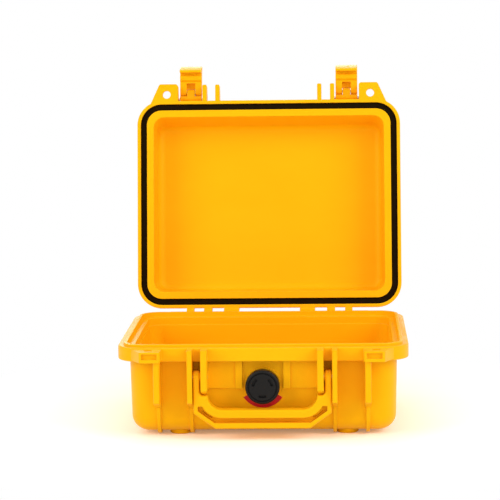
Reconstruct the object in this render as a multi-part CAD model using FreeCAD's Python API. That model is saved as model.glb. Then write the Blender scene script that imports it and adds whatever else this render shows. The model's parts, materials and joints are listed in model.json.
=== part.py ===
import FreeCAD
import Part
import math
import os

# A hinged protective case, front towards -Y, standing on its feet at z = 0 with the lid open.
# Every piece is drawn with the case shut about the rim's middle. Then the lid and its latches are
# swung open, and the whole case moves forward to bring its middle over the origin.

# Rim outline, shared by base and lid
RIM_WIDTH = 270.0
RIM_DEPTH = 213.6
RIM_CORNER = 25.0
RIM_EDGE_ROUND = 1.2
PARTING_Z = 85.0
PARTING_GAP = 0.3

# Base: outer walls
BASE_RIM_HEIGHT = 12.8
BASE_OVERHANG = 10.4
BASE_LEAN = 1.5
BASE_CORNER = 18.0
BASE_ROUND = 15.0
FOOT_HEIGHT = 3.6

# Base: inside
BASE_WALL = 4.6
BASE_FLOOR = 5.0
BASE_CAVITY_CORNER = 13.4
BASE_CAVITY_ROUND = 10.4

# Base: rim section, from the outside in
LAND_WIDTH = 5.0
RIDGE_WIDTH = 3.4
RIDGE_HEIGHT = 2.6
RIDGE_ROUND = 0.9
LEDGE_DROP = 2.2
STEP_DROP = 9.4
STEP_WIDTH = 0.8
SKIRT_WALL = 3.2
CORE_WIDTH = 6.0
CORE_ROOF = 4.6

# Base: rails that wrap round the walls and the bottom
RAIL_PROUD = 2.6
RAIL_WIDTH = 3.4

# Feet
FOOT_RADIUS = 10.4
FOOT_FROM_SIDE = 57.0
FOOT_FROM_FRONT = 32.8
FOOT_EDGE_ROUND = 1.4
FOOT_SINK = 3.0

# Front ribs of the base
FRONT_REACH = 14.6
RIB_TOP_GAP = 0.3
RIB_EDGE_ROUND = 1.2
OUTER_RIB_WIDTH = 5.6
MID_RIB_WIDTH = 4.8
GUARD_DROP = 49.0
GUARD_SLOPE = 9.0
INNER_RIB_WIDTH = 6.0
INNER_RIB_DROP = 41.2

# Padlock lugs, alike on base and lid
LUG_REACH = 17.2
LUG_TIP_WIDTH = 19.0
LUG_ROOT_WIDTH = 29.0
LUG_ROOT_SINK = 4.8
LUG_CORNER_ROUND = 2.6
LUG_PLATE = 4.2
LUG_TOP_DROP = 1.0
LUG_HEIGHT = 10.0
LUG_ROOF = 1.8
LUG_FLOOR = 3.2
LUG_WALL = 2.0
LUG_INNER_WALL = 3.0
LUG_POCKET_DEPTH = 2.4
PADLOCK_ASIDE = 11.6
PADLOCK_OUT = 6.4
PADLOCK_RADIUS = 4.1

# Hinges
HINGE_BEHIND = 8.0
HINGE_BELOW = 4.0
HINGE_BARREL_RADIUS = 4.6
HINGE_PIN_RADIUS = 1.6
HINGE_RUN = 0.05
HINGE_FROM_SIDE = 104.0
KNUCKLE_WIDTHS = (15.6, 11.4, 8.4, 9.5, 7.6, 15.4)
KNUCKLE_GAP = 0.3
HINGE_PIN_INSET = 0.8
BRACKET_TOP_DROP = 1.2
HINGE_ROOT_SINK = 2.0
LID_ARM_BACKSET = 0.8
LID_OPENING = 100.0

# Lid
LID_RIM_HEIGHT = 9.2
LID_RISE = 37.2
LID_OVERHANG = 12.0
LID_LEAN = 3.0
LID_FRONT_LEAN = 4.6
LID_CORNER = 15.0
LID_ROUND = 10.0
LID_WALL = 4.7
LID_TOP_WALL = 3.8
LID_CAVITY_CORNER = 11.0
LID_CAVITY_ROUND = 8.0
LID_RAIL_PROUD = 1.8

# Front ribs of the lid
LID_RIB_REACH = 16.4
LID_RIB_WIDTH = 4.4
LID_RIB_PITCH = 13.2
LID_RIB_ASIDE = 0.2
LID_RIB_NOSE = 11.0
LID_RIB_RISE = 30.0

# Gasket and its groove
GROOVE_INSET = 3.5
GROOVE_WIDTH = 6.4
GASKET_THICK = 3.6
GASKET_GAP = 0.3

# Latches: a link pinned to the lid and a lever pinned to the link
LATCH_FROM_SIDE = 54.6
LATCH_WIDTH = 22.4
LATCH_RIB_GAP = 0.3
LATCH_OUTER_GAP = 2.6
LATCH_LID_GAP = 1.4
LATCH_PIN_OUT = 3.0
LATCH_PIN_RISE = 13.6
LATCH_PIN_RADIUS = 1.5
LATCH_RUN = 0.05
LINK_EYE_RADIUS = 3.3
LINK_WIDTH = 8.0
LINK_SLOT_GAP = 0.4
LEVER_PIN_OUT = 3.5
LEVER_PIN_DROP = 7.1
LEVER_PIN_RADIUS = 1.4
LEVER_HEAD_RADIUS = 3.8
LEVER_FACE_GAP = 1.2
LEVER_SKIN = 3.2
LEVER_POCKET_DROP = 9.4
HOOK_GAP = 0.5
HOOK_REACH = 5.0
HOOK_TIP = 2.4
HOOK_DEPTH = 5.2
LEVER_BACK_OUT = 12.0
TAB_OUT = 15.0
TAB_DROP = 8.4
TAB_TIP = 2.4
LEVER_RIDGE_GAP = 0.6
LEVER_RIDGE_RISE = 2.2
LEVER_RIDGE_HEIGHT = 5.0
LEVER_RIDGE_SLOPE = 1.8
LEVER_RIDGE_ROUND = 1.2
LEVER_EDGE_ROUND = 0.8
LATCH_OPENING = 90.0

# Handle
HANDLE_PIVOT_OUT = 4.7
HANDLE_PIVOT_DROP = 26.0
HANDLE_DEPTH = 12.0
HANDLE_OUTER_GAP = 0.7
HANDLE_INNER_GAP = 1.2
HANDLE_ARM_WIDTH = 5.8
HANDLE_SHOULDER_DROP = 43.0
HANDLE_BEND = 13.6
HANDLE_BAR_DROP = 56.0
HANDLE_BAR_HEIGHT = 7.4
HANDLE_FLANGE_WIDTH = 4.0
HANDLE_LOW_DROP = 73.5
HANDLE_SLANT_RUN = 19.8
HANDLE_CORNER_DROP = 59.2
HANDLE_LOW_FLANGE = 5.3
HANDLE_RECESS = 7.4
HANDLE_RECESS_TOP_DROP = 52.6
HANDLE_EDGE_ROUND = 1.5
HANDLE_SWING_GAP = 0.4
HANDLE_PIN_RADIUS = 2.0
HANDLE_BOSS_RADIUS = 4.4
HANDLE_BOSS_GAP = 0.3
HANDLE_RUN = 0.06
SLIT_WIDTH = 2.0
SLIT_OFFSET = 1.3
SLIT_ANGLES = (219.0, 246.0)

# Pressure valve in the front wall
VALVE_DROP = 36.2
VALVE_SEAT_PROUD = 1.2
VALVE_SEAT_RADIUS = 15.4
VALVE_LAND_EDGE = 0.5
VALVE_STEM_RADIUS = 8.0
VALVE_HOLE_GAP = 0.2
VALVE_INNER_SEAT = 1.0
VALVE_INNER_SEAT_RADIUS = 16.4
WASHER_THICK = 1.5
WASHER_RADIUS = 13.4
FLANGE_RADIUS = 13.8
FLANGE_THICK = 3.0
SPIGOT_RADIUS = 6.0
SPIGOT_LENGTH = 5.0
NUT_SIDES = 6
NUT_FLATS = 26.0
NUT_THICK = 6.0
STEM_PAST_NUT = 2.0
VENT_RADIUS = 3.0
VENT_LENGTH = 14.0
MEMBRANE_RADIUS = 5.6
MEMBRANE_THICK = 0.6
MEMBRANE_SINK = 1.4
RING_SECTION = 0.9
RING_GAP = 0.4
TAG_THICK = 0.9
TAG_INNER_RADIUS = 14.2
TAG_RADIUS = 21.4
TAG_HALF_ANGLE = 57.0

# Valve knob
KNOB_RADIUS = 15.9
KNOB_BACK_GAP = 0.4
KNOB_THICK = 9.4
KNOB_RUN = 0.05
KNOB_BORE_GAP = 0.4
KNOB_EDGE_ROUND = 1.8
KNOB_GROOVE_RADIUS = 12.4
KNOB_GROOVE_WIDTH = 1.3
KNOB_GROOVE_DEPTH = 2.2
KNOB_FACE_SINK = 0.5
KNOB_SLOT_RADIUS = 7.6
KNOB_SLOT_WIDTH = 2.3
KNOB_SLOT_DEPTH = 3.2
KNOB_SLOT_MIDDLES = (30.0, 150.0, 270.0)
KNOB_SLOT_SWEEP = 46.0

# Low panels and ribs beside the valve
PANEL_PROUD = 1.6
PANEL_DROP = 39.4
VALVE_RIB_PROUD = 3.4
VALVE_RIB_X = 22.2
VALVE_RIB_WIDTH = 6.6

# Small working values
OVER = 1.0
NEAR = 0.001
TURN = 360.0
HALF_TURN = 180.0
QUARTER = 90.0

# Places that several pieces share
FRONT_Y = -RIM_DEPTH / 2
BACK_Y = RIM_DEPTH / 2
LID_Z = PARTING_Z + PARTING_GAP
RIM_BOTTOM_Z = PARTING_Z - BASE_RIM_HEIGHT
HINGE_Y = BACK_Y + HINGE_BEHIND
HINGE_Z = PARTING_Z - HINGE_BELOW
LATCH_PIN_Y = FRONT_Y - LATCH_PIN_OUT
LATCH_PIN_Z = PARTING_Z + LATCH_PIN_RISE
LEVER_PIN_Y = LATCH_PIN_Y - LEVER_PIN_OUT
LEVER_PIN_Z = LATCH_PIN_Z - LEVER_PIN_DROP
HANDLE_Y = FRONT_Y - HANDLE_PIVOT_OUT
HANDLE_Z = PARTING_Z - HANDLE_PIVOT_DROP
VALVE_Z = PARTING_Z - VALVE_DROP
BASE_HEIGHT = PARTING_Z - FOOT_HEIGHT
LUG_HIGH_Z = PARTING_Z - LUG_TOP_DROP
LUG_LOW_Z = LUG_HIGH_Z - LUG_HEIGHT

# Places across the case, from the latches inwards to the handle and outwards to the lugs
LATCH_X = RIM_WIDTH / 2 - LATCH_FROM_SIDE
LATCH_IN_X = LATCH_X - LATCH_WIDTH / 2
LATCH_OUT_X = LATCH_X + LATCH_WIDTH / 2
MID_RIB_X = LATCH_IN_X - LATCH_RIB_GAP - MID_RIB_WIDTH / 2
HANDLE_HALF_WIDTH = MID_RIB_X - MID_RIB_WIDTH / 2 - HANDLE_OUTER_GAP
HANDLE_ARM_IN = HANDLE_HALF_WIDTH - HANDLE_ARM_WIDTH
INNER_RIB_X = HANDLE_ARM_IN - HANDLE_INNER_GAP - INNER_RIB_WIDTH / 2
HANDLE_INNER_HALF = INNER_RIB_X - INNER_RIB_WIDTH / 2
HANDLE_LOW_HALF = HANDLE_HALF_WIDTH - HANDLE_SLANT_RUN
OUTER_RIB_X = LATCH_OUT_X + LATCH_OUTER_GAP + OUTER_RIB_WIDTH / 2
LID_MID_RIB_X = LATCH_IN_X - LATCH_LID_GAP - LID_RIB_WIDTH / 2
LID_INNER_RIB_X = LID_MID_RIB_X - LID_RIB_PITCH
LUG_INNER_X = LATCH_OUT_X + LATCH_LID_GAP
LID_OUTER_RIB_X = LUG_INNER_X + LID_RIB_ASIDE + LID_RIB_WIDTH / 2
LUG_TIP_X = LUG_INNER_X + LUG_TIP_WIDTH
LUG_ROOT_X = LUG_INNER_X + LUG_ROOT_WIDTH
PADLOCK_X = LUG_INNER_X + PADLOCK_ASIDE
HINGE_START_X = RIM_WIDTH / 2 - HINGE_FROM_SIDE
FOOT_X = RIM_WIDTH / 2 - FOOT_FROM_SIDE
FOOT_Y = RIM_DEPTH / 2 - FOOT_FROM_FRONT


def vec(x, y, z):
    return FreeCAD.Vector(x, y, z)


X_AXIS = vec(1, 0, 0)
Y_AXIS = vec(0, 1, 0)
Z_AXIS = vec(0, 0, 1)
ORIGIN = vec(0, 0, 0)


def polar(radius, degrees):
    return (radius * math.cos(math.radians(degrees)), radius * math.sin(math.radians(degrees)))


def outline(width, depth, corner, z):
    """Rounded rectangle about the case's middle, at height z."""
    turns = []
    signs = ((1, 1), (-1, 1), (-1, -1), (1, -1))
    for quarter, (side_x, side_y) in enumerate(signs):
        centre = vec(side_x * (width / 2 - corner), side_y * (depth / 2 - corner), z)
        angles = [QUARTER * (quarter + part / 2) for part in range(3)]
        turns.append([centre + vec(*polar(corner, angle), 0) for angle in angles])
    edges = []
    for turn, following in zip(turns, turns[1:] + turns[:1]):
        edges.append(Part.Arc(*turn).toShape())
        edges.append(Part.makeLine(turn[-1], following[0]))
    return Part.Wire(edges)


def slab(width, depth, corner, low, high):
    return Part.Face(outline(width, depth, corner, low)).extrude(vec(0, 0, high - low))


def rim_slab(inset, low, high):
    """Plate that follows the rim outline at a distance inside it."""
    return slab(RIM_WIDTH - 2 * inset, RIM_DEPTH - 2 * inset, RIM_CORNER - inset, low, high)


def rim_ring(inset, width, low, high):
    return rim_slab(inset, low, high).cut(rim_slab(inset + width, low, high))


def taper(inset, corner, low, lean_low, high, lean_high, front=0):
    """Block with leaning walls, measured inwards from the rim outline, its front leaning more by a value."""
    wires = []
    for z, lean, more in ((low, lean_low, 0), (high, lean_high, front)):
        step = inset + lean
        wire = outline(RIM_WIDTH - 2 * step, RIM_DEPTH - 2 * step - more, corner, z)
        wire.translate(vec(0, more / 2, 0))
        wires.append(wire)
    return Part.makeLoft(wires, True, True)


def soften(shape, radius, chosen):
    return shape.makeFillet(radius, [edge for edge in shape.Edges if chosen(edge.BoundBox)])


def flat_at(z):
    """Test for the edges that lie in the plane at height z."""
    return lambda box: abs(box.ZMin - z) < NEAR and abs(box.ZMax - z) < NEAR


def upright_at(y):
    """Test for the upright edges in the plane at depth y."""
    return lambda box: abs(box.YMin - y) < NEAR and abs(box.YMax - y) < NEAR and box.ZLength > OVER


def across(low, high):
    """Slice of space between two x values."""
    tall = PARTING_Z + LID_RISE + LID_RISE
    deep = RIM_DEPTH + RIM_DEPTH
    return Part.makeBox(high - low, deep, tall + tall, vec(low, -RIM_DEPTH, -tall))


def side_plate(points, low, high):
    """Plate between two x values with its outline given as (y, z) points."""
    corners = [vec(low, y, z) for y, z in points]
    return Part.Face(Part.makePolygon(corners + corners[:1])).extrude(vec(high - low, 0, 0))


def plan_plate(points, low, high):
    """Plate between two heights with its outline given as (x, y) points."""
    corners = [vec(x, y, low) for x, y in points]
    return Part.Face(Part.makePolygon(corners + corners[:1])).extrude(vec(0, 0, high - low))


def rod(low, high, y, z, radius):
    """Round bar along X."""
    return Part.makeCylinder(radius, high - low, vec(low, y, z), X_AXIS)


def disc(front, back, radius):
    """Round plate on the valve's axis."""
    return Part.makeCylinder(radius, back - front, vec(0, front, VALVE_Z), Y_AXIS)


def mirrored(shape):
    return shape.mirror(ORIGIN, X_AXIS)


def both(shapes):
    """The right-hand shapes and their left-hand twins."""
    return list(shapes) + [mirrored(shape) for shape in shapes]


def joined(first, others):
    return first.fuse(list(others)).removeSplitter()


def capsule(start, end, radius, low, high):
    """Bar of rounded ends between two (y, z) points, drawn between two x values."""
    (y0, z0), (y1, z1) = start, end
    run = math.hypot(y1 - y0, z1 - z0)
    side_y = radius * (z1 - z0) / run
    side_z = -radius * (y1 - y0) / run
    points = [(y0 + side_y, z0 + side_z), (y1 + side_y, z1 + side_z)]
    points += [(y1 - side_y, z1 - side_z), (y0 - side_y, z0 - side_z)]
    ends = [rod(low, high, y, z, radius) for y, z in (start, end)]
    return joined(side_plate(points, low, high), ends)


def front_wall_y(z, grow):
    """Depth of the base's leaning front wall at height z, stood out by grow."""
    lean = BASE_LEAN * (PARTING_Z - z) / BASE_HEIGHT
    return FRONT_Y + BASE_OVERHANG + lean - grow


def base_block(grow):
    """Outer body of the base, stood out by grow on every wall and at the bottom."""
    low = FOOT_HEIGHT - grow
    block = taper(BASE_OVERHANG - grow, BASE_CORNER + grow, low, BASE_LEAN, PARTING_Z, 0)
    return soften(block, BASE_ROUND + grow, flat_at(low))


def base_cavity():
    inset = BASE_OVERHANG + BASE_WALL
    floor = FOOT_HEIGHT + BASE_FLOOR
    hollow = taper(inset, BASE_CAVITY_CORNER, floor, BASE_LEAN, PARTING_Z + OVER, 0)
    hollow = soften(hollow, BASE_CAVITY_ROUND, flat_at(floor))
    ledge = rim_slab(LAND_WIDTH + RIDGE_WIDTH, PARTING_Z - LEDGE_DROP, PARTING_Z + RIDGE_HEIGHT + OVER)
    step_inset = inset - STEP_WIDTH
    step_width = RIM_WIDTH - 2 * step_inset
    step_depth = RIM_DEPTH - 2 * step_inset
    step_corner = BASE_CAVITY_CORNER + STEP_WIDTH
    step = slab(step_width, step_depth, step_corner, PARTING_Z - STEP_DROP, PARTING_Z)
    return [hollow, ledge, step]


def lug_points(sink):
    """Plan outline of a padlock lug, rooted in the rim."""
    root_y = FRONT_Y + sink
    tip_y = FRONT_Y - LUG_REACH
    return [(LUG_INNER_X, root_y), (LUG_INNER_X, tip_y), (LUG_TIP_X, tip_y), (LUG_ROOT_X, root_y)]


def lug_plate(low, high):
    tip_y = FRONT_Y - LUG_REACH
    plate = plan_plate(lug_points(LUG_ROOT_SINK), low, high)
    return soften(plate, LUG_CORNER_ROUND, upright_at(tip_y))


def lug_pocket():
    """Shallow hollow between the roof and the floor of a base lug, open to the front."""
    tip_y = FRONT_Y - LUG_REACH - OVER
    root_y = FRONT_Y - LUG_REACH + LUG_POCKET_DEPTH
    slope = (LUG_ROOT_X - LUG_TIP_X) / (LUG_REACH + LUG_ROOT_SINK)
    wall_x = LUG_WALL * math.hypot(slope, 1)
    outer_tip = LUG_TIP_X - wall_x - slope * OVER
    outer_root = LUG_TIP_X - wall_x + slope * LUG_POCKET_DEPTH
    inner = LUG_INNER_X + LUG_INNER_WALL
    points = [(inner, root_y), (inner, tip_y), (outer_tip, tip_y), (outer_root, root_y)]
    return plan_plate(points, LUG_LOW_Z + LUG_FLOOR, LUG_HIGH_Z - LUG_ROOF)


def padlock_hole(low, high):
    spot = vec(PADLOCK_X, FRONT_Y - PADLOCK_OUT, low)
    return Part.makeCylinder(PADLOCK_RADIUS, high - low, spot, Z_AXIS)


def guard_rib(middle, width, top):
    """Deep upright rib that guards a latch, sloping back to the wall at its foot."""
    root = front_wall_y(RIM_BOTTOM_Z, 0) + OVER
    tip = FRONT_Y - FRONT_REACH
    foot = PARTING_Z - GUARD_DROP
    points = [(root, top), (tip, top), (tip, foot), (root, foot - GUARD_SLOPE)]
    plate = side_plate(points, middle - width / 2, middle + width / 2)
    return soften(plate, RIB_EDGE_ROUND, upright_at(tip))


def clevis_rib():
    """Inner rib of a handle clevis: round ended, and trimmed to the swing of the handle."""
    radius = INNER_RIB_WIDTH / 2
    root = front_wall_y(RIM_BOTTOM_Z, 0) + OVER
    tip = FRONT_Y - FRONT_REACH
    end_z = PARTING_Z - INNER_RIB_DROP + radius
    left = INNER_RIB_X - radius
    size = (INNER_RIB_WIDTH, root - tip, PARTING_Z - RIB_TOP_GAP - end_z)
    rib = Part.makeBox(*size, vec(left, tip, end_z))
    nose = Part.makeCylinder(radius, root - tip, vec(INNER_RIB_X, tip, end_z), Y_AXIS)
    rib = joined(soften(rib, RIB_EDGE_ROUND, upright_at(tip)), [nose])
    notch_half, notch_drop = handle_notch()
    crown = math.sqrt(notch_half * notch_half - radius * radius)
    swing = notch_drop + crown - HANDLE_PIVOT_DROP - HANDLE_SWING_GAP
    low = PARTING_Z - HANDLE_SHOULDER_DROP
    size = (INNER_RIB_WIDTH, HANDLE_Y - tip + OVER, HANDLE_Z - low)
    quarter = Part.makeBox(*size, vec(left, tip - OVER, low))
    return rib.cut(quarter.cut(rod(left, left + INNER_RIB_WIDTH, HANDLE_Y, HANDLE_Z, swing)))


def foot(x, y):
    stub = Part.makeCylinder(FOOT_RADIUS, FOOT_HEIGHT + FOOT_SINK, vec(x, y, 0), Z_AXIS)
    return soften(stub, FOOT_EDGE_ROUND, flat_at(0))


def front_panels():
    """Low panels and ribs on the front wall beside the valve, ending in a ledge."""
    low = PARTING_Z - PANEL_DROP
    shelf = Part.makeBox(RIM_WIDTH, RIM_DEPTH, RIM_BOTTOM_Z - low, vec(-RIM_WIDTH / 2, -RIM_DEPTH, low))
    rib_in = VALVE_RIB_X - VALVE_RIB_WIDTH / 2
    rib_out = VALVE_RIB_X + VALVE_RIB_WIDTH / 2
    panel = base_block(PANEL_PROUD).common(shelf).common(across(rib_out, INNER_RIB_X))
    rib = base_block(VALVE_RIB_PROUD).common(shelf).common(across(rib_in, rib_out))
    return both([panel, rib])


def knuckle_spans():
    """The x spans of the hinge knuckles from the middle outwards, lid and base in turn."""
    spans = []
    start = HINGE_START_X
    for width in KNUCKLE_WIDTHS:
        spans.append((start, start + width))
        start += width + KNUCKLE_GAP
    return spans


def base_knuckle(low, high):
    root = BACK_Y - HINGE_ROOT_SINK
    points = [(root, PARTING_Z - BRACKET_TOP_DROP), (BACK_Y, PARTING_Z - BRACKET_TOP_DROP)]
    points += [(HINGE_Y, HINGE_Z + HINGE_BARREL_RADIUS), (HINGE_Y, HINGE_Z - HINGE_BARREL_RADIUS)]
    points += [(BACK_Y, RIM_BOTTOM_Z), (root, RIM_BOTTOM_Z)]
    barrel = rod(low, high, HINGE_Y, HINGE_Z, HINGE_BARREL_RADIUS)
    return joined(side_plate(points, low, high), [barrel])


def lid_knuckle(low, high):
    root = BACK_Y - HINGE_ROOT_SINK
    back_y, back_z = polar(HINGE_BARREL_RADIUS, QUARTER / 2)
    points = [(root, LID_Z), (BACK_Y + LID_ARM_BACKSET, LID_Z), (HINGE_Y - HINGE_BARREL_RADIUS, HINGE_Z)]
    points += [(HINGE_Y, HINGE_Z), (HINGE_Y + back_y, HINGE_Z + back_z)]
    points += [(BACK_Y, LID_Z + LID_RIM_HEIGHT), (root, LID_Z + LID_RIM_HEIGHT)]
    barrel = rod(low, high, HINGE_Y, HINGE_Z, HINGE_BARREL_RADIUS)
    return joined(side_plate(points, low, high), [barrel])


def hinge_bore(span, radius):
    low, high = span
    return rod(low - OVER, high + OVER, HINGE_Y, HINGE_Z, radius)


def make_base():
    rim = rim_slab(0, RIM_BOTTOM_Z, PARTING_Z)
    edges = (flat_at(RIM_BOTTOM_Z), flat_at(PARTING_Z))
    rim = soften(rim, RIM_EDGE_ROUND, lambda box: any(test(box) for test in edges))
    ridge = rim_slab(LAND_WIDTH, RIM_BOTTOM_Z, PARTING_Z + RIDGE_HEIGHT)
    ridge = soften(ridge, RIDGE_ROUND, flat_at(PARTING_Z + RIDGE_HEIGHT))
    spans = knuckle_spans()
    lug = lug_plate(LUG_LOW_Z, LUG_HIGH_Z)
    knuckles = [base_knuckle(*span) for span in spans[1::2]]
    shell = joined(rim, [ridge] + both([lug] + knuckles))
    shell = shell.cut(rim_ring(SKIRT_WALL, CORE_WIDTH, RIM_BOTTOM_Z - OVER, PARTING_Z - CORE_ROOF))
    rail_block = base_block(RAIL_PROUD)
    rails = []
    for middle in (OUTER_RIB_X, MID_RIB_X):
        rails.append(rail_block.common(across(middle - RAIL_WIDTH / 2, middle + RAIL_WIDTH / 2)))
    ribs = [guard_rib(OUTER_RIB_X, OUTER_RIB_WIDTH, LUG_LOW_Z + LUG_FLOOR), clevis_rib()]
    ribs.append(guard_rib(MID_RIB_X, MID_RIB_WIDTH, PARTING_Z - RIB_TOP_GAP))
    feet = [foot(FOOT_X, FOOT_Y), foot(FOOT_X, -FOOT_Y)]
    seat = joined(disc(valve_seat_y(), valve_core_y(), VALVE_SEAT_RADIUS), [valve_land()])
    shell = joined(shell, [base_block(0), seat] + front_panels() + both(rails + ribs + feet))
    shell = shell.cut(base_cavity())
    inner_pad = disc(valve_seat_y(), valve_inner_y(), VALVE_INNER_SEAT_RADIUS)
    shell = joined(shell, [inner_pad])
    cuts = [padlock_hole(RIM_BOTTOM_Z - OVER, PARTING_Z + OVER), handle_bore(HANDLE_PIN_RADIUS)]
    cuts.append(lug_pocket())
    cuts += [hinge_bore(span, HINGE_PIN_RADIUS) for span in spans[1::2]]
    hole = disc(valve_seat_y() - OVER, valve_inner_y() + OVER, VALVE_STEM_RADIUS + VALVE_HOLE_GAP)
    return shell.cut(both(cuts) + [hole])


def lid_block(grow):
    """Outer body of the lid, stood out by grow on every wall and at the top."""
    high = PARTING_Z + LID_RISE + grow
    block = taper(LID_OVERHANG - grow, LID_CORNER + grow, LID_Z, 0, high, LID_LEAN, LID_FRONT_LEAN)
    return soften(block, LID_ROUND + grow, flat_at(high))


def lid_rib(middle):
    """Upright rib on the lid's front, deep at the rim and sloping back towards the top."""
    root = FRONT_Y + LID_OVERHANG + LID_LEAN + LID_FRONT_LEAN
    tip = FRONT_Y - LID_RIB_REACH
    points = [(root, LID_Z), (tip, LID_Z), (tip, LID_Z + LID_RIB_NOSE), (root, LID_Z + LID_RIB_RISE)]
    plate = side_plate(points, middle - LID_RIB_WIDTH / 2, middle + LID_RIB_WIDTH / 2)
    return soften(plate, RIB_EDGE_ROUND, upright_at(tip))


def groove_depth():
    return RIDGE_HEIGHT + GASKET_GAP - PARTING_GAP + GASKET_THICK


def make_lid():
    rim_top = LID_Z + LID_RIM_HEIGHT
    rim = rim_slab(0, LID_Z, rim_top)
    edges = (flat_at(LID_Z), flat_at(rim_top))
    rim = soften(rim, RIM_EDGE_ROUND, lambda box: any(test(box) for test in edges))
    spans = knuckle_spans()
    knuckles = [lid_knuckle(*span) for span in spans[0::2]]
    rib_middles = (LID_INNER_RIB_X, LID_MID_RIB_X, LID_OUTER_RIB_X)
    ribs = [lid_rib(middle) for middle in rib_middles]
    rail_block = lid_block(LID_RAIL_PROUD)
    rails = []
    for middle in rib_middles[1:]:
        rails.append(rail_block.common(across(middle - RAIL_WIDTH / 2, middle + RAIL_WIDTH / 2)))
    lug = lug_plate(LID_Z, LID_Z + LUG_PLATE)
    shell = joined(rim, [lid_block(0)] + both([lug] + knuckles + ribs + rails))
    ceiling = PARTING_Z + LID_RISE - LID_TOP_WALL
    inset = LID_OVERHANG + LID_WALL
    cavity = taper(inset, LID_CAVITY_CORNER, LID_Z - OVER, 0, ceiling, LID_LEAN, LID_FRONT_LEAN)
    cavity = soften(cavity, LID_CAVITY_ROUND, flat_at(ceiling))
    groove = rim_ring(GROOVE_INSET, GROOVE_WIDTH, LID_Z - OVER, LID_Z + groove_depth())
    cuts = [padlock_hole(LID_Z - OVER, LID_Z + LUG_PLATE + OVER)]
    cuts += [hinge_bore(span, HINGE_PIN_RADIUS + HINGE_RUN) for span in spans[0::2]]
    cuts.append(rod(*latch_pin_span(), LATCH_PIN_Y, LATCH_PIN_Z, LATCH_PIN_RADIUS))
    return shell.cut([cavity, groove] + both(cuts))


def make_gasket():
    top = LID_Z + groove_depth()
    return rim_ring(GROOVE_INSET, GROOVE_WIDTH, top - GASKET_THICK, top)


def make_hinge_pin():
    spans = knuckle_spans()
    low = spans[0][0] + HINGE_PIN_INSET
    high = spans[-1][1] - HINGE_PIN_INSET
    return rod(low, high, HINGE_Y, HINGE_Z, HINGE_PIN_RADIUS)


def latch_pin_span():
    return (LID_MID_RIB_X - LID_RIB_WIDTH / 2, LID_OUTER_RIB_X + LID_RIB_WIDTH / 2)


def make_latch_pin():
    return rod(*latch_pin_span(), LATCH_PIN_Y, LATCH_PIN_Z, LATCH_PIN_RADIUS)


def make_link():
    """Barrel on the lid's pin with a middle tongue that reaches to the lever's pin."""
    half = LATCH_WIDTH / 2
    barrel = rod(LATCH_X - half, LATCH_X + half, LATCH_PIN_Y, LATCH_PIN_Z, LINK_EYE_RADIUS)
    low = LATCH_X - LINK_WIDTH / 2
    high = LATCH_X + LINK_WIDTH / 2
    ends = ((LATCH_PIN_Y, LATCH_PIN_Z), (LEVER_PIN_Y, LEVER_PIN_Z))
    link = joined(barrel, [capsule(*ends, LINK_EYE_RADIUS, low, high)])
    lid_bore = rod(*latch_pin_span(), LATCH_PIN_Y, LATCH_PIN_Z, LATCH_PIN_RADIUS + LATCH_RUN)
    lever_bore = rod(low, high, LEVER_PIN_Y, LEVER_PIN_Z, LEVER_PIN_RADIUS + LATCH_RUN)
    return link.cut([lid_bore, lever_bore])


def make_lever():
    """Latch lever with a hook lip below the base's rim, a ridge before the rim and a flared finger tab."""
    half = LATCH_WIDTH / 2
    low = LATCH_X - half
    high = LATCH_X + half
    face = FRONT_Y - LEVER_FACE_GAP
    hook_top = RIM_BOTTOM_Z - HOOK_GAP
    hook_y = FRONT_Y + HOOK_REACH
    back = FRONT_Y - LEVER_BACK_OUT
    tab_y = FRONT_Y - TAB_OUT
    tab_z = hook_top - TAB_DROP
    shoulder_z = LEVER_PIN_Z - LEVER_HEAD_RADIUS
    leg = LEVER_PIN_Y + LEVER_HEAD_RADIUS
    ridge = FRONT_Y - LEVER_RIDGE_GAP
    ridge_low = hook_top + LEVER_RIDGE_RISE
    ridge_high = ridge_low + LEVER_RIDGE_HEIGHT
    points = [(leg, LEVER_PIN_Z), (leg, ridge_high + LEVER_RIDGE_SLOPE), (ridge, ridge_high)]
    points += [(ridge, ridge_low), (leg, ridge_low), (leg, hook_top)]
    points += [(hook_y, hook_top), (hook_y, hook_top - HOOK_TIP), (face, hook_top - HOOK_DEPTH)]
    points += [(tab_y + TAB_TIP, tab_z), (tab_y, tab_z), (tab_y, tab_z + TAB_TIP), (back, hook_top)]
    points += [(LEVER_PIN_Y - LEVER_HEAD_RADIUS, LEVER_PIN_Z)]
    head = rod(low, high, LEVER_PIN_Y, LEVER_PIN_Z, LEVER_HEAD_RADIUS)
    lever = joined(side_plate(points, low, high), [head])
    lever = soften(lever, LEVER_RIDGE_ROUND, lambda box: abs(box.YMin - ridge) + box.YLength + box.ZLength < NEAR)
    lever = soften(lever, LEVER_EDGE_ROUND, lambda box: box.XLength < NEAR)
    slot_half = LINK_WIDTH / 2 + LINK_SLOT_GAP
    slot_low = LATCH_X - slot_half
    slot_high = LATCH_X + slot_half
    pocket_z = LEVER_PIN_Z - LEVER_POCKET_DROP
    inside = face + OVER
    outside = back - OVER
    top = LEVER_PIN_Z + LEVER_HEAD_RADIUS + OVER
    through = [(inside, shoulder_z), (inside, top), (outside, top), (outside, shoulder_z)]
    skin_y = back + LEVER_SKIN
    pocket = [(inside, pocket_z), (inside, top), (skin_y, top), (skin_y, pocket_z)]
    cuts = [side_plate(outlined, slot_low, slot_high) for outlined in (through, pocket)]
    cuts.append(rod(low, high, LEVER_PIN_Y, LEVER_PIN_Z, LEVER_PIN_RADIUS))
    return lever.cut(cuts)


def make_lever_pin():
    half = LATCH_WIDTH / 2
    return rod(LATCH_X - half, LATCH_X + half, LEVER_PIN_Y, LEVER_PIN_Z, LEVER_PIN_RADIUS)


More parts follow.
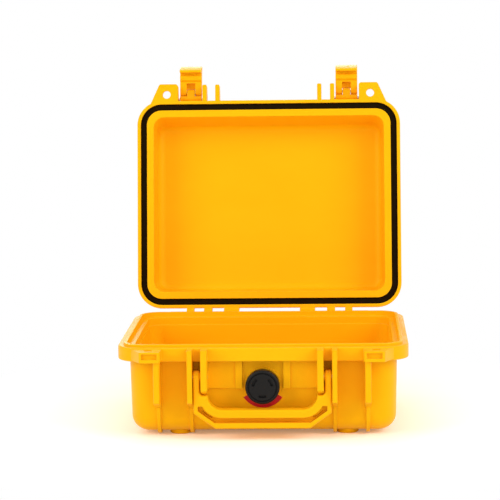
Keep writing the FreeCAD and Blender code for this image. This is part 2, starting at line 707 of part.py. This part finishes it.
def handle_notch():
    """Radius of the handle's round notch below a clevis rib, and the drop to its centre."""
    half = HANDLE_ARM_IN - INNER_RIB_X
    return half, HANDLE_SHOULDER_DROP - half


def handle_bore(radius):
    low = INNER_RIB_X - INNER_RIB_WIDTH / 2
    high = MID_RIB_X + MID_RIB_WIDTH / 2
    return rod(low, high, HANDLE_Y, HANDLE_Z, radius)


def front_face(half_edges):
    """Upright face from its right-hand edges and their mirror images."""
    edges = half_edges + [mirrored(edge) for edge in half_edges]
    return Part.Face(Part.Wire(Part.__sortEdges__(edges)))


def handle_arc(radius, start, end, y):
    """Arc about the bend of the handle's right-hand lower corner."""
    centre = vec(HANDLE_INNER_HALF - HANDLE_BEND, y, PARTING_Z - HANDLE_BAR_DROP + HANDLE_BEND)
    points = []
    for angle in (start, (start + end) / 2, end):
        x, z = polar(radius, angle)
        points.append(centre + vec(x, 0, z))
    return points


def make_handle():
    """Folding handle: two arms and a grip bar, with a recess along its lower flange."""
    front = HANDLE_Y - HANDLE_DEPTH / 2
    level = lambda drop: PARTING_Z - drop
    spot = lambda x, drop: vec(x, front, level(drop))
    bend = handle_arc(HANDLE_BEND, TURN - QUARTER, TURN, front)
    notch_half, notch_drop = handle_notch()
    side = notch_half * math.sqrt(1 / 2)
    notch = [spot(HANDLE_ARM_IN, notch_drop), spot(INNER_RIB_X + side, notch_drop + side)]
    notch.append(spot(INNER_RIB_X, HANDLE_SHOULDER_DROP))
    corners = [spot(0, HANDLE_LOW_DROP), spot(HANDLE_LOW_HALF, HANDLE_LOW_DROP)]
    corners += [spot(HANDLE_HALF_WIDTH, HANDLE_CORNER_DROP), spot(HANDLE_HALF_WIDTH, HANDLE_PIVOT_DROP)]
    corners += [spot(HANDLE_ARM_IN, HANDLE_PIVOT_DROP), notch[0]]
    edges = [Part.makeLine(start, end) for start, end in zip(corners, corners[1:])]
    edges += [Part.Arc(*notch).toShape(), Part.makeLine(notch[-1], bend[-1]), Part.Arc(*bend).toShape()]
    edges.append(Part.makeLine(bend[0], spot(0, HANDLE_BAR_DROP)))
    plate = front_face(edges).extrude(vec(0, HANDLE_DEPTH, 0))
    ends = [rod(HANDLE_ARM_IN, HANDLE_HALF_WIDTH, HANDLE_Y, HANDLE_Z, HANDLE_DEPTH / 2)]
    handle = soften(joined(plate, both(ends)), HANDLE_EDGE_ROUND, handle_edge)
    boss_low = HANDLE_ARM_IN - HANDLE_INNER_GAP + HANDLE_BOSS_GAP
    boss_high = HANDLE_HALF_WIDTH + HANDLE_OUTER_GAP - HANDLE_BOSS_GAP
    handle = joined(handle, both([rod(boss_low, boss_high, HANDLE_Y, HANDLE_Z, HANDLE_BOSS_RADIUS)]))
    cuts = [handle_recess(front)] + both([handle_slit(front), handle_bore(HANDLE_PIN_RADIUS + HANDLE_RUN)])
    return handle.cut(cuts)


def handle_edge(box):
    """Test for the edges that run round the front and back faces of the handle and its round ends."""
    on_faces = abs(box.YMin - HANDLE_Y) + NEAR > HANDLE_DEPTH / 2 and box.YLength < NEAR
    tangent = box.ZLength < NEAR and abs(box.ZMin - HANDLE_Z) < NEAR
    round_end = box.XLength < NEAR and box.ZMin > HANDLE_Z - NEAR
    return (on_faces and not tangent) or round_end


def handle_recess(front):
    """Recess between the grip bar and the flange that runs round the handle's foot."""
    spot = lambda x, drop: vec(x, front, PARTING_Z - drop)
    radius = HANDLE_BEND + HANDLE_BAR_HEIGHT
    rise = HANDLE_RECESS_TOP_DROP - HANDLE_BAR_DROP + HANDLE_BEND
    start = TURN - math.degrees(math.asin(rise / radius))
    arc = handle_arc(radius, TURN - QUARTER, start, front)
    side_x = HANDLE_HALF_WIDTH - HANDLE_FLANGE_WIDTH
    foot_drop = HANDLE_LOW_DROP - HANDLE_LOW_FLANGE
    slope = (HANDLE_LOW_DROP - HANDLE_CORNER_DROP) / (HANDLE_HALF_WIDTH - HANDLE_LOW_HALF)
    shift = HANDLE_FLANGE_WIDTH * math.hypot(slope, 1)
    corner_drop = HANDLE_CORNER_DROP + slope * HANDLE_FLANGE_WIDTH - shift
    foot_x = side_x - (foot_drop - corner_drop) / slope
    corners = [spot(0, foot_drop), spot(foot_x, foot_drop), spot(side_x, corner_drop)]
    corners += [spot(side_x, HANDLE_RECESS_TOP_DROP), arc[-1]]
    edges = [Part.makeLine(first, second) for first, second in zip(corners, corners[1:])]
    edges += [Part.Arc(*arc).toShape(), Part.makeLine(arc[0], spot(0, HANDLE_BAR_DROP + HANDLE_BAR_HEIGHT))]
    return front_face(edges).extrude(vec(0, HANDLE_RECESS, 0))


def handle_slit(front):
    """Slit through the web at the corner of the recess, concentric with the bend."""
    inner = HANDLE_BEND + HANDLE_BAR_HEIGHT + SLIT_OFFSET
    start, end = [HALF_TURN + TURN - angle for angle in SLIT_ANGLES]
    low = handle_arc(inner, start, end, front)
    high = handle_arc(inner + SLIT_WIDTH, start, end, front)
    edges = [Part.Arc(*low).toShape(), Part.Arc(*high).toShape()]
    edges += [Part.makeLine(low[0], high[0]), Part.makeLine(low[-1], high[-1])]
    return Part.Face(Part.Wire(Part.__sortEdges__(edges))).extrude(vec(0, HANDLE_DEPTH, 0))


def valve_seat_y():
    return front_wall_y(VALVE_Z, VALVE_SEAT_PROUD)


def valve_core_y():
    """Depth inside the front wall where the outer seat is rooted."""
    return front_wall_y(VALVE_Z, 0) + BASE_WALL / 2


def valve_land():
    """Raised land that carries the crescent plate below the knob."""
    seat = valve_seat_y()
    inner = TAG_INNER_RADIUS - VALVE_LAND_EDGE
    outer = TAG_RADIUS + VALVE_LAND_EDGE
    return ring_sector(seat, valve_core_y() - seat, inner, outer, *tag_span(VALVE_LAND_EDGE))


def tag_span(edge):
    """Angles of the crescent plate's ends, each stood off by an edge at the outer radius."""
    half = TAG_HALF_ANGLE + math.degrees(edge / TAG_RADIUS)
    middle = TURN - QUARTER
    return (middle - half, middle + half)


def valve_inner_y():
    """Flat inside the front wall that the valve's nut bears on."""
    return front_wall_y(VALVE_Z, 0) + BASE_WALL + VALVE_INNER_SEAT


def valve_flange_y():
    """Front of the valve body's flange."""
    return valve_seat_y() - WASHER_THICK - FLANGE_THICK


def valve_end_y():
    return valve_inner_y() + NUT_THICK + STEM_PAST_NUT


def make_valve_body():
    flange = valve_flange_y()
    stem = disc(flange, valve_end_y(), VALVE_STEM_RADIUS)
    body = joined(disc(flange, flange + FLANGE_THICK, FLANGE_RADIUS), [stem])
    body = joined(body, [disc(flange - SPIGOT_LENGTH, flange, SPIGOT_RADIUS)])
    end = valve_end_y()
    vent = disc(end - VENT_LENGTH, end, VENT_RADIUS)
    return body.cut([vent, disc(end - MEMBRANE_SINK, end, MEMBRANE_RADIUS)])


def make_membrane():
    low = valve_end_y() - MEMBRANE_SINK
    return disc(low, low + MEMBRANE_THICK, MEMBRANE_RADIUS)


def make_washer():
    low = valve_seat_y() - WASHER_THICK
    return disc(low, valve_seat_y(), WASHER_RADIUS).cut(disc(low, valve_seat_y(), VALVE_STEM_RADIUS))


def make_nut():
    low = valve_inner_y()
    radius = NUT_FLATS / 2 / math.cos(math.radians(HALF_TURN / NUT_SIDES))
    corners = []
    for corner in range(NUT_SIDES + 1):
        x, z = polar(radius, TURN * corner / NUT_SIDES)
        corners.append(vec(x, low, VALVE_Z + z))
    block = Part.Face(Part.makePolygon(corners)).extrude(vec(0, NUT_THICK, 0))
    return block.cut(disc(low, low + NUT_THICK, VALVE_STEM_RADIUS))


def make_o_ring():
    centre = vec(0, valve_flange_y() - RING_SECTION, VALVE_Z)
    return Part.makeTorus(SPIGOT_RADIUS + RING_SECTION, RING_SECTION, centre, Y_AXIS)


def make_tag():
    """Bare crescent plate on the valve's seat, below the knob."""
    front = valve_seat_y() - TAG_THICK
    return ring_sector(front, TAG_THICK, TAG_INNER_RADIUS, TAG_RADIUS, *tag_span(0))


def ring_sector(front, thick, inner, outer, start, end):
    arcs = []
    for radius in (inner, outer):
        points = []
        for angle in (start, (start + end) / 2, end):
            x, z = polar(radius, angle)
            points.append(vec(x, front, VALVE_Z + z))
        arcs.append(points)
    edges = [Part.Arc(*points).toShape() for points in arcs]
    edges += [Part.makeLine(arcs[0][0], arcs[1][0]), Part.makeLine(arcs[0][-1], arcs[1][-1])]
    return Part.Face(Part.Wire(Part.__sortEdges__(edges))).extrude(vec(0, thick, 0))


def make_knob():
    """Round knob with a raised ring, a sunk face and three arc slots."""
    back = valve_flange_y() - KNOB_BACK_GAP
    front = back - KNOB_THICK
    knob = disc(front, back, KNOB_RADIUS)
    rim = lambda box: abs(box.YMax - front) < NEAR
    knob = soften(knob, KNOB_EDGE_ROUND, rim)
    groove_in = KNOB_GROOVE_RADIUS
    groove = disc(front, front + KNOB_GROOVE_DEPTH, groove_in + KNOB_GROOVE_WIDTH)
    groove = groove.cut(disc(front, front + KNOB_GROOVE_DEPTH, groove_in))
    cuts = [groove, disc(front, front + KNOB_FACE_SINK, groove_in)]
    for middle in KNOB_SLOT_MIDDLES:
        inner = KNOB_SLOT_RADIUS
        outer = inner + KNOB_SLOT_WIDTH
        start = middle - KNOB_SLOT_SWEEP / 2
        end = middle + KNOB_SLOT_SWEEP / 2
        cuts.append(ring_sector(front, KNOB_FACE_SINK + KNOB_SLOT_DEPTH, inner, outer, start, end))
    tip = valve_flange_y() - SPIGOT_LENGTH - KNOB_BORE_GAP
    cuts.append(disc(tip, back, SPIGOT_RADIUS + KNOB_RUN))
    ring_front = valve_flange_y() - 2 * RING_SECTION - RING_GAP
    cuts.append(disc(ring_front, back, SPIGOT_RADIUS + 2 * RING_SECTION + RING_GAP))
    return knob.cut(cuts)


def swing_lid(shape):
    moved = shape.copy()
    moved.rotate(vec(0, HINGE_Y, HINGE_Z), -X_AXIS, LID_OPENING)
    return moved


def swing_latch(shape):
    moved = shape.copy()
    moved.rotate(vec(0, LATCH_PIN_Y, LATCH_PIN_Z), -X_AXIS, LATCH_OPENING)
    return swing_lid(moved)


def open_middle():
    """Middle of the open case from front to back, between its lugs and the swung lid's top."""
    front = FRONT_Y - LUG_REACH
    reach = FRONT_Y + LID_OVERHANG + LID_LEAN + LID_FRONT_LEAN + LID_ROUND - HINGE_Y
    rise = PARTING_Z + LID_RISE + LID_RAIL_PROUD - HINGE_Z
    turn = math.radians(LID_OPENING)
    back = HINGE_Y + reach * math.cos(turn) + rise * math.sin(turn)
    return (front + back) / 2


def save(name, shape):
    placed = shape.copy()
    placed.translate(vec(0, -open_middle(), 0))
    placed.exportStep("parts/" + name + ".step")


def save_pair(name, shape):
    save(name + "_right", shape)
    save(name + "_left", mirrored(shape))


os.makedirs("parts", exist_ok=True)
save("base_shell", make_base())
save("lid_shell", swing_lid(make_lid()))
save("lid_gasket", swing_lid(make_gasket()))
save("handle", make_handle())
save("valve_body", make_valve_body())
save("valve_washer", make_washer())
save("valve_nut", make_nut())
save("valve_o_ring", make_o_ring())
save("valve_membrane", make_membrane())
save("valve_tag", make_tag())
save("valve_knob", make_knob())
save_pair("hinge_pin", make_hinge_pin())
save_pair("handle_pin", handle_bore(HANDLE_PIN_RADIUS))
save_pair("latch_pin", swing_lid(make_latch_pin()))
save_pair("latch_link", swing_latch(make_link()))
save_pair("latch_lever", swing_latch(make_lever()))
save_pair("lever_pin", swing_latch(make_lever_pin()))
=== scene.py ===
import json
import math

import bpy
from mathutils import Matrix, Vector


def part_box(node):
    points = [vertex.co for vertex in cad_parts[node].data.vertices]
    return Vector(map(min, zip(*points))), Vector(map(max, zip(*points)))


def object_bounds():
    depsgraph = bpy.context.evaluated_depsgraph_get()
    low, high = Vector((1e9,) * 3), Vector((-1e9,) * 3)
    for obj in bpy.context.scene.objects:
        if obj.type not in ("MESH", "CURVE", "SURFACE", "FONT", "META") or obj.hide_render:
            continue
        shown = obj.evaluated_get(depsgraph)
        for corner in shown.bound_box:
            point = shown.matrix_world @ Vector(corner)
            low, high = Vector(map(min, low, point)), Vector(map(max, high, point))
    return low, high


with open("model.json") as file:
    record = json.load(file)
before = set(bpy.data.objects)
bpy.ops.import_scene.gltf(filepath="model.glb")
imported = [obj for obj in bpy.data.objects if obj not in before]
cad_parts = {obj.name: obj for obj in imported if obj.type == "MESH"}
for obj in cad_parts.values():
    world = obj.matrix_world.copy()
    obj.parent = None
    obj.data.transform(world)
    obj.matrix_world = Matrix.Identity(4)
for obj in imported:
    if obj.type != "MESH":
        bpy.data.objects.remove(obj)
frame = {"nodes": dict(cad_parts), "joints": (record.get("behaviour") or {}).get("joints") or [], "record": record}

# The whole object's box as the CAD gives it; its lowest point sets the floor's height
cad_box = [list(corner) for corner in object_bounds()]

MM = 0.001


def grey(level):
    return (level, level, level, 1.0)


# Materials: small helpers to write node graphs

class Graph:
    """A material's node tree, with its surface shader and object coordinates at hand."""

    def __init__(self, name):
        self.material = bpy.data.materials.new(name)
        self.material.use_nodes = True
        self.tree = self.material.node_tree
        self.shader = self.tree.nodes["Principled BSDF"]
        self.place = self.add("ShaderNodeTexCoord").outputs["Object"]

    def add(self, kind, inputs=None, **settings):
        node = self.tree.nodes.new(kind)
        for name, value in settings.items():
            setattr(node, name, value)
        for name, value in (inputs or {}).items():
            self.put(node.inputs[name], value)
        return node

    def put(self, socket, value):
        if isinstance(value, bpy.types.NodeSocket):
            self.tree.links.new(value, socket)
        else:
            socket.default_value = value

    def noise(self, scale, detail=2.0, rough=0.5, place=None):
        inputs = {"Vector": place or self.place, "Scale": scale, "Detail": detail, "Roughness": rough}
        return self.add("ShaderNodeTexNoise", inputs).outputs["Fac"]

    def wave(self, scale, direction):
        inputs = {"Vector": self.place, "Scale": scale}
        return self.add("ShaderNodeTexWave", inputs, bands_direction=direction).outputs["Fac"]

    def ramp(self, value, low, high, to_low=0.0, to_high=1.0):
        inputs = {"Value": value, "From Min": low, "From Max": high, "To Min": to_low, "To Max": to_high}
        return self.add("ShaderNodeMapRange", inputs).outputs["Result"]

    def math(self, operation, first, second=0.0):
        return self.add("ShaderNodeMath", {0: first, 1: second}, operation=operation).outputs[0]

    def mix(self, factor, first, second):
        # Sockets 6 and 7 are a Mix node's two colours, and output 2 is its mixed colour
        return self.add("ShaderNodeMix", {0: factor, 6: first, 7: second}, data_type="RGBA").outputs[2]

    def bump(self, height, distance, strength, normal=None):
        inputs = {"Height": height, "Distance": distance, "Strength": strength}
        if normal is not None:
            inputs["Normal"] = normal
        return self.add("ShaderNodeBump", inputs).outputs["Normal"]

    def stretched(self, x, y, z):
        return self.add("ShaderNodeMapping", {"Vector": self.place, "Scale": (x, y, z)}).outputs["Vector"]

    def set(self, **inputs):
        for name, value in inputs.items():
            self.put(self.shader.inputs[name.replace("_", " ")], value)


# Pattern sizes are noise scales, in waves to a metre or so
FLOW_SCALE, FLOW_STRETCH = 9.0, (1.0, 1.0, 2.2)
SPECK_SCALE = 420.0
CLOUD_SCALE = 55.0
SINK_SCALE, SINK_DEPTH = 26.0, 0.25 * MM
GRAIN_SCALE, GRAIN_DEPTH = 1500.0, 0.05 * MM
SOFT_EDGE_SAMPLES = 6


def moulded(name, pale, deep, highlight_colour, shine, grain, rough, round_edge):
    """Injection moulded plastic: faint flow in the colour, fine grain, soft edges, and a painted highlight: a
    paler, speckled colour along the edges.
    """
    g = Graph(name)
    soft = g.add("ShaderNodeBevel", {"Radius": round_edge}, samples=SOFT_EDGE_SAMPLES).outputs["Normal"]
    true = g.add("ShaderNodeNewGeometry").outputs["Normal"]
    turn = g.add("ShaderNodeVectorMath", {0: soft, 1: true}, operation="DOT_PRODUCT").outputs["Value"]
    # Painted highlight: where the shading bevel turns the normal, along edges, the colour is mixed towards a paler
    # one
    edge_highlight_mask = g.ramp(turn, 1.0, 0.9)
    speck = g.noise(SPECK_SCALE, 3.0)
    flow = g.ramp(g.noise(FLOW_SCALE, 3.0, 0.6, g.stretched(*FLOW_STRETCH)), 0.32, 0.68)
    colour = g.mix(flow, deep, pale)
    speckled_highlight = g.math("MULTIPLY", edge_highlight_mask, g.ramp(speck, 0.35, 0.6, 0.25, 0.6))
    # Painted highlight: the paler edge colour, speckled by noise, stands in for light caught by the edges
    colour = g.mix(speckled_highlight, colour, highlight_colour)
    cloud = g.noise(CLOUD_SCALE, 4.0, 0.6)
    finish = g.ramp(cloud, 0.3, 0.7, rough - 0.05, rough + 0.06)
    fine = g.noise(GRAIN_SCALE, 2.0, 0.55)
    waves = g.noise(SINK_SCALE, 1.0)
    normal = g.bump(waves, SINK_DEPTH, 0.22, soft)
    normal = g.bump(fine, GRAIN_DEPTH, grain, normal)
    g.set(Base_Color=colour, Roughness=finish, Normal=normal)
    g.set(Specular_IOR_Level=0.32, Specular_Tint=shine)
    return g.material


BLOOM_SCALE, DULL_SCALE = 140.0, 300.0
RUBBER_GRAIN_SCALE, RUBBER_GRAIN_DEPTH = 2600.0, 0.06 * MM


def rubber(name, base, dust, rough):
    """Moulded rubber: dull, faintly mottled, with a fine grain."""
    g = Graph(name)
    bloom = g.ramp(g.noise(BLOOM_SCALE, 5.0, 0.65), 0.45, 0.75)
    colour = g.mix(bloom, base, dust)
    finish = g.ramp(g.noise(DULL_SCALE, 3.0), 0.3, 0.7, rough - 0.08, rough + 0.1)
    normal = g.bump(g.noise(RUBBER_GRAIN_SCALE, 3.0, 0.6), RUBBER_GRAIN_DEPTH, 0.4)
    g.set(Base_Color=colour, Roughness=finish, Normal=normal)
    g.set(Specular_IOR_Level=0.1, Specular_Tint=(0.9, 0.5, 0.2, 1.0))
    return g.material


TINT_SCALE, SHEEN_SCALE = 260.0, 500.0
PLATE_GRAIN_SCALE, PLATE_GRAIN_DEPTH = 1800.0, 0.03 * MM


def plate(name, base, deep):
    """Coloured plastic plate with a faint grain."""
    g = Graph(name)
    colour = g.mix(g.ramp(g.noise(TINT_SCALE, 3.0), 0.35, 0.65), base, deep)
    finish = g.ramp(g.noise(SHEEN_SCALE, 2.0), 0.3, 0.7, 0.34, 0.46)
    normal = g.bump(g.noise(PLATE_GRAIN_SCALE, 2.0), PLATE_GRAIN_DEPTH, 0.25)
    g.set(Base_Color=colour, Roughness=finish, Normal=normal)
    g.set(Specular_IOR_Level=0.2)
    return g.material


TURNING_STRETCH, TURNING_DEPTH = (9000.0, 160.0, 160.0), 0.01 * MM


def steel(name):
    """Ground pin steel: fine turning marks round the pin."""
    g = Graph(name)
    marks = g.noise(1.0, 3.0, 0.7, g.stretched(*TURNING_STRETCH))
    colour = g.mix(g.ramp(marks, 0.35, 0.65), (0.50, 0.50, 0.49, 1.0), (0.64, 0.63, 0.61, 1.0))
    finish = g.ramp(marks, 0.3, 0.7, 0.26, 0.4)
    normal = g.bump(marks, TURNING_DEPTH, 0.3)
    g.set(Base_Color=colour, Roughness=finish, Normal=normal, Metallic=1.0)
    return g.material


WEAVE_SCALE, WEAVE_DEPTH = 900.0, 0.06 * MM


def felt(name):
    """Porous white membrane with a close weave."""
    g = Graph(name)
    weave = g.math("MULTIPLY", g.wave(WEAVE_SCALE, "X"), g.wave(WEAVE_SCALE, "Z"))
    colour = g.mix(weave, (0.62, 0.62, 0.59, 1.0), (0.84, 0.84, 0.82, 1.0))
    normal = g.bump(weave, WEAVE_DEPTH, 0.6)
    g.set(Base_Color=colour, Normal=normal, Roughness=g.ramp(weave, 0.0, 1.0, 0.92, 0.8))
    return g.material


finishes = {
    # The edge colour given to moulded() is a painted highlight along the edges
    "shell_yellow": moulded(
        "shell_yellow", pale=(0.98, 0.482, 0.0032, 1.0), deep=(0.97, 0.46, 0.0022, 1.0),
        highlight_colour=(1.0, 0.56, 0.016, 1.0), shine=(1.0, 0.72, 0.12, 1.0),
        grain=0.22, rough=0.4, round_edge=0.9 * MM),
    "valve_black": moulded(
        "valve_black", pale=(0.0062, 0.006, 0.0056, 1.0), deep=(0.0042, 0.004, 0.0038, 1.0),
        highlight_colour=(0.022, 0.021, 0.02, 1.0), shine=(0.55, 0.52, 0.5, 1.0),
        grain=0.3, rough=0.38, round_edge=0.3 * MM),
    "gasket_rubber": rubber(
        "gasket_rubber", base=(0.0046, 0.0027, 0.0009, 1.0), dust=(0.008, 0.005, 0.002, 1.0), rough=0.5),
    "tag_red": plate("tag_red", base=(0.60, 0.006, 0.009, 1.0), deep=(0.52, 0.005, 0.007, 1.0)),
    "pin_steel": steel("pin_steel"),
    "membrane_white": felt("membrane_white"),
}

slots = {entry["node"]: entry["material_slot"] for entry in frame["record"]["subparts"]}
for node, piece in frame["nodes"].items():
    piece.data.materials.clear()
    piece.data.materials.append(finishes[slots[node]])


# Edges of the small pieces are round in the mesh too: faces are joined, flat ones merged, edges rolled over

EDGE_ROUND = {
    "lid_gasket": 1.1 * MM,
    "latch_lever_left": 0.4 * MM,
    "latch_lever_right": 0.4 * MM,
    "valve_knob": 0.25 * MM,
    "valve_tag": 0.2 * MM,
    "valve_nut": 0.4 * MM,
}
JOIN_WITHIN = 0.002 * MM
FLAT_WITHIN = math.radians(0.3)
SHARP_FROM = math.radians(40.0)
EDGE_STEPS = 3


def roll_edges(piece, radius):
    weld = piece.modifiers.new("join_faces", "WELD")
    weld.merge_threshold = JOIN_WITHIN
    flats = piece.modifiers.new("merge_flats", "DECIMATE")
    flats.decimate_type = "DISSOLVE"
    flats.angle_limit = FLAT_WITHIN
    rolled = piece.modifiers.new("round_edges", "BEVEL")
    rolled.width = radius
    rolled.segments = EDGE_STEPS
    rolled.limit_method = "ANGLE"
    rolled.angle_limit = SHARP_FROM
    rolled.use_clamp_overlap = False
    rolled.harden_normals = True


for node, radius in EDGE_ROUND.items():
    roll_edges(frame["nodes"][node], radius)


# Stage: pale floor that keeps the shadow, white beyond it

FLOOR_HALF = 8.0
FLOOR_DROP = 0.02 * MM
FLOOR_TONE = 1.0
FLOOR_BOUNCE_TONE = 0.95
# Peach glow added to the floor for camera rays: painted warm light that shows in the object's shadow
FLOOR_PAINTED_WARM_GLOW = (0.36, 0.21, 0.115, 1.0)
FLOOR_UNDER = 20.0 * MM
FLOOR_WHITE_START = 60.0 * MM
FLOOR_WHITE_REACH = 220.0 * MM
WORLD_LIGHT = 0.5
WORLD_SEEN = 1.0


def sees_directly(tree):
    """1 for rays that show the background itself: from the camera, in a mirror or through glass."""
    path = tree.nodes.new("ShaderNodeLightPath")
    seen = path.outputs["Is Camera Ray"]
    for name in ("Is Glossy Ray", "Is Transmission Ray"):
        larger = tree.nodes.new("ShaderNodeMath")
        larger.operation = "MAXIMUM"
        tree.links.new(seen, larger.inputs[0])
        tree.links.new(path.outputs[name], larger.inputs[1])
        seen = larger.outputs[0]
    return seen


def floor_material(low, high):
    """Pale floor with the object's shadow, which a painted peach glow seen by the camera makes light and warm, and
    white further away.
    """
    g = Graph("pale_floor")
    g.tree.nodes.remove(g.shader)
    seen = sees_directly(g.tree)
    place = g.add("ShaderNodeSeparateXYZ", {0: g.place}).outputs
    gaps = []
    for axis in (0, 1):
        middle = (low[axis] + high[axis]) / 2
        half = (high[axis] - low[axis]) / 2 - FLOOR_UNDER
        gap = g.math("SUBTRACT", g.math("ABSOLUTE", g.math("SUBTRACT", place[axis], middle)), half)
        gap = g.math("MAXIMUM", gap, 0.0)
        gaps.append(g.math("MULTIPLY", gap, gap))
    away = g.math("SQRT", g.math("ADD", *gaps))
    tone = g.mix(seen, grey(FLOOR_BOUNCE_TONE), grey(FLOOR_TONE))
    paper = g.add("ShaderNodeBsdfDiffuse", {"Color": tone}).outputs[0]
    # Painted warm light: a constant peach emission seen only by camera rays; the lit floor clips to white, so it
    # shows as warm light in the shadow
    painted_warm_glow = g.add("ShaderNodeEmission", {"Color": FLOOR_PAINTED_WARM_GLOW, "Strength": seen}).outputs[0]
    paper = g.add("ShaderNodeAddShader", {0: paper, 1: painted_warm_glow}).outputs[0]
    fade = g.math("MULTIPLY", g.ramp(away, FLOOR_WHITE_START, FLOOR_WHITE_REACH), seen)
    white = g.add("ShaderNodeEmission").outputs[0]
    ground = g.add("ShaderNodeMixShader", {0: fade, 1: paper, 2: white}).outputs[0]
    g.tree.links.new(ground, g.tree.nodes["Material Output"].inputs["Surface"])
    return g.material


floor_mesh = bpy.data.meshes.new("floor")
corners = [(-FLOOR_HALF, -FLOOR_HALF, 0), (FLOOR_HALF, -FLOOR_HALF, 0)]
corners += [(FLOOR_HALF, FLOOR_HALF, 0), (-FLOOR_HALF, FLOOR_HALF, 0)]
floor_mesh.from_pydata(corners, [], [(0, 1, 2, 3)])
floor_mesh.materials.append(floor_material(*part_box("base_shell")))
floor = bpy.data.objects.new("floor", floor_mesh)
floor.location.z = cad_box[0][2] - FLOOR_DROP
bpy.context.scene.collection.objects.link(floor)

world = bpy.data.worlds.new("studio")
bpy.context.scene.world = world
world.use_nodes = True
tree = world.node_tree
shown = tree.nodes.new("ShaderNodeMix")
shown.data_type = "FLOAT"
tree.links.new(sees_directly(tree), shown.inputs[0])
shown.inputs[2].default_value = WORLD_LIGHT
shown.inputs[3].default_value = WORLD_SEEN
sky = tree.nodes["Background"]
sky.inputs["Color"].default_value = grey(1.0)
tree.links.new(shown.outputs[0], sky.inputs["Strength"])


# Studio light

def softbox(name, place, aim, width, height, power):
    data = bpy.data.lights.new(name, "AREA")
    data.shape = "RECTANGLE"
    data.size = width
    data.size_y = height
    data.energy = power
    lamp = bpy.data.objects.new(name, data)
    lamp.location = place
    lamp.rotation_euler = (Vector(aim) - Vector(place)).to_track_quat("-Z", "Y").to_euler()
    lamp.visible_camera = False
    bpy.context.scene.collection.objects.link(lamp)


softbox("top_light", place=(-0.1, 0.3, 1.6), aim=(0.0, 0.0, 0.1), width=1.8, height=1.4, power=6.6)
softbox("right_light", place=(1.75, -1.2, 1.35), aim=(0.0, 0.0, 0.15), width=1.3, height=1.3, power=25.0)
softbox("left_light", place=(-1.75, -1.3, 1.2), aim=(0.0, 0.0, 0.15), width=1.3, height=1.3, power=20.5)
softbox("front_light", place=(0.3, -2.4, 0.4), aim=(0.0, 0.0, 0.05), width=1.4, height=0.7, power=4.6)
softbox("back_light", place=(-0.4, 2.3, 1.0), aim=(0.0, 0.05, 0.15), width=1.4, height=1.0, power=11.0)


# Camera, from the fit to the photograph and then brought nearer with the focus scaled alike

PHOTO_SIDE = 500.0
SENSOR_WIDTH = 36.0
CAMERA_FOCUS = 2272.7
CAMERA_NEARER = 0.95
CAMERA_FROM_HINGE = Vector((73.864, -2291.4, 351.464)) * MM
CAMERA_YAW, CAMERA_PITCH, CAMERA_ROLL = (math.radians(angle) for angle in (-2.346, 6.973, -0.74))
CAMERA_CLIP_END = 100.0

hinge = next(joint for joint in frame["joints"] if joint["name"] == "lid_hinge")
camera_place = Vector(hinge["pos_m"]) + CAMERA_FROM_HINGE * CAMERA_NEARER
level_length = math.cos(CAMERA_PITCH)
ahead = Vector((math.sin(CAMERA_YAW) * level_length,
                math.cos(CAMERA_YAW) * level_length,
                -math.sin(CAMERA_PITCH)))
level = Vector((math.cos(CAMERA_YAW), -math.sin(CAMERA_YAW), 0.0))
upward = level.cross(ahead)
right = math.cos(CAMERA_ROLL) * level + math.sin(CAMERA_ROLL) * upward
up = math.cos(CAMERA_ROLL) * upward - math.sin(CAMERA_ROLL) * level
camera_data = bpy.data.cameras.new("camera")
camera_data.sensor_width = SENSOR_WIDTH
camera_data.lens = SENSOR_WIDTH * CAMERA_FOCUS * CAMERA_NEARER / PHOTO_SIDE
camera_data.clip_end = CAMERA_CLIP_END
camera = bpy.data.objects.new("camera", camera_data)
camera.matrix_world = Matrix.Translation(camera_place) @ Matrix((right, up, -ahead)).transposed().to_4x4()
bpy.context.scene.collection.objects.link(camera)
bpy.context.scene.camera = camera

bpy.context.scene.view_settings.view_transform = "Standard"
